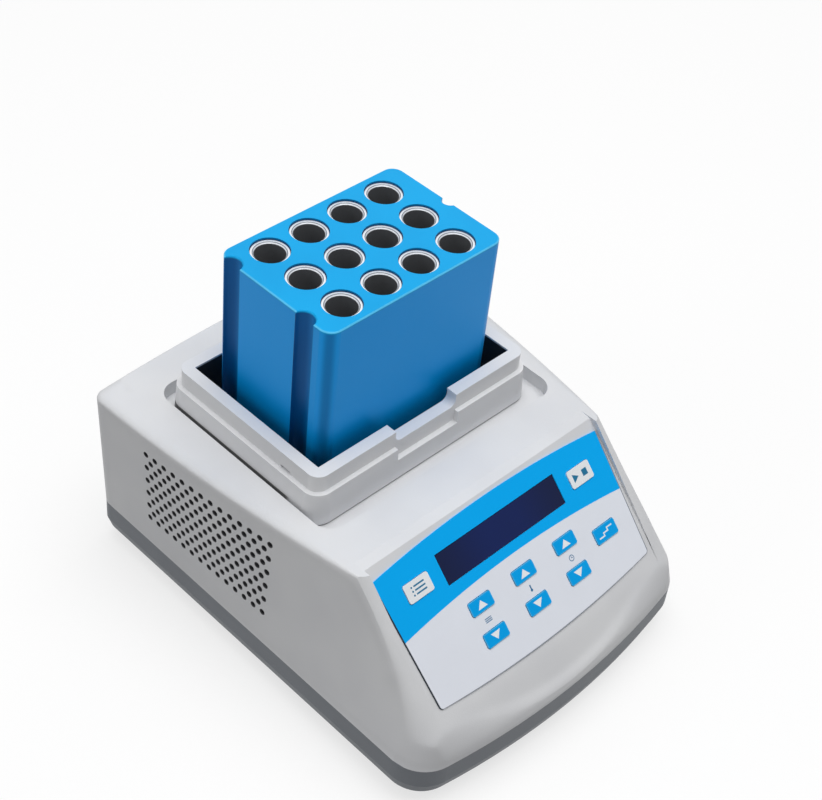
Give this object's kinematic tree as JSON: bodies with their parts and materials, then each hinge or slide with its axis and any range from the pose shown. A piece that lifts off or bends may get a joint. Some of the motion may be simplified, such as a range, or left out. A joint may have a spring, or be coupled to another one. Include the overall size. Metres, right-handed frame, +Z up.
{
  "type": "dry block heater",
  "caption": "Bench dry block heater: pale housing with a sloping keypad panel, dark tray, and a tall blue metal block with tube wells that lifts out of a collared well.",
  "frame": {"origin": "middle of the footprint, on the ground", "axes": "+X to the right seen from the control panel, +Y to the back, +Z up"},
  "size_m": [0.208, 0.256, 0.2015],
  "materials": {
    "pale_plastic": "fine satin moulding",
    "slate_plastic": "satin moulding",
    "collar_plastic": "fine satin moulding",
    "foot_rubber": "matt",
    "screw_steel": "zinc plated",
    "blue_aluminium": "blue anodised, bright machined mouths",
    "black_sheet": "black",
    "plate_aluminium": "machined",
    "element_foil": "silicone sheet with an etched element",
    "jacket_fibre": "pressed fibre",
    "shelf_steel": "galvanised",
    "probe_steel": "bright",
    "cutout_body": "phenolic",
    "label_film": "two-tone overlay",
    "window_dark": "dark tint",
    "module_frame": "black frame",
    "board_green": "solder mask",
    "pillar_brass": "turned",
    "switch_black": "moulded",
    "black_plastic": "moulded",
    "rocker_plastic": "moulded",
    "transformer_core": "varnished laminations",
    "sink_aluminium": "black anodised",
    "white_key": "moulded",
    "blue_key": "moulded"
  },
  "bodies": {
    "housing": {"upper_housing": "pale_plastic", "lower_housing": "slate_plastic", "rubber_feet": "foot_rubber", "case_screws": "screw_steel", "well_collar": "collar_plastic", "collar_screws": "screw_steel", "well_liner": "black_sheet", "heater_plate": "plate_aluminium", "heating_element": "element_foil", "insulation_jacket": "jacket_fibre", "stage_shelf": "shelf_steel", "shelf_posts": "shelf_steel", "temperature_probe": "probe_steel", "thermal_cutout": "cutout_body", "panel_label": "label_film", "display_window": "window_dark", "display_module": "module_frame", "control_board": "board_green", "board_pillars": "pillar_brass", "key_switches": "switch_black", "power_inlet": "black_plastic", "power_switch_frame": "black_plastic", "power_board": "board_green", "power_board_pillars": "pillar_brass", "transformer": "transformer_core", "heat_sink": "sink_aluminium"},
    "block": {"heating_block": "blue_aluminium"},
    "option_key_body": {"option_key": "white_key"},
    "start_stop_key_body": {"start_stop_key": "white_key"},
    "step_key_body": {"step_key": "blue_key"},
    "up_key_left_body": {"up_key_left": "blue_key"},
    "up_key_middle_body": {"up_key_middle": "blue_key"},
    "up_key_right_body": {"up_key_right": "blue_key"},
    "down_key_left_body": {"down_key_left": "blue_key"},
    "down_key_middle_body": {"down_key_middle": "blue_key"},
    "down_key_right_body": {"down_key_right": "blue_key"},
    "rocker": {"power_rocker": "rocker_plastic"},
    "drawer": {"fuse_drawer": "black_plastic"}
  },
  "joints": [
    {"name": "block_lift", "type": "slide", "parent": "housing", "child": "block", "axis": [0, 0, 1], "range_m": [0, 0.045]},
    {"name": "option_key_press", "type": "slide", "parent": "housing", "child": "option_key_body", "axis": [0, 0.7071, -0.7071], "range_m": [0, 0.0005], "stiffness_N_per_m": 400, "springref_m": -0.0004},
    {"name": "start_stop_key_press", "type": "slide", "parent": "housing", "child": "start_stop_key_body", "axis": [0, 0.7071, -0.7071], "range_m": [0, 0.0005], "stiffness_N_per_m": 400, "springref_m": -0.0004},
    {"name": "step_key_press", "type": "slide", "parent": "housing", "child": "step_key_body", "axis": [0, 0.7071, -0.7071], "range_m": [0, 0.0005], "stiffness_N_per_m": 400, "springref_m": -0.0004},
    {"name": "up_key_left_press", "type": "slide", "parent": "housing", "child": "up_key_left_body", "axis": [0, 0.7071, -0.7071], "range_m": [0, 0.0005], "stiffness_N_per_m": 400, "springref_m": -0.0004},
    {"name": "up_key_middle_press", "type": "slide", "parent": "housing", "child": "up_key_middle_body", "axis": [0, 0.7071, -0.7071], "range_m": [0, 0.0005], "stiffness_N_per_m": 400, "springref_m": -0.0004},
    {"name": "up_key_right_press", "type": "slide", "parent": "housing", "child": "up_key_right_body", "axis": [0, 0.7071, -0.7071], "range_m": [0, 0.0005], "stiffness_N_per_m": 400, "springref_m": -0.0004},
    {"name": "down_key_left_press", "type": "slide", "parent": "housing", "child": "down_key_left_body", "axis": [0, 0.7071, -0.7071], "range_m": [0, 0.0005], "stiffness_N_per_m": 400, "springref_m": -0.0004},
    {"name": "down_key_middle_press", "type": "slide", "parent": "housing", "child": "down_key_middle_body", "axis": [0, 0.7071, -0.7071], "range_m": [0, 0.0005], "stiffness_N_per_m": 400, "springref_m": -0.0004},
    {"name": "down_key_right_press", "type": "slide", "parent": "housing", "child": "down_key_right_body", "axis": [0, 0.7071, -0.7071], "range_m": [0, 0.0005], "stiffness_N_per_m": 400, "springref_m": -0.0004},
    {"name": "rocker_tilt", "type": "hinge", "parent": "housing", "child": "rocker", "pos_m": [0.014, 0.12, 0.06], "axis": [1, 0, 0], "range_deg": [0, 18]},
    {"name": "drawer_slide", "type": "slide", "parent": "housing", "child": "drawer", "axis": [0, 1, 0], "range_m": [0, 0.018]}
  ]
}
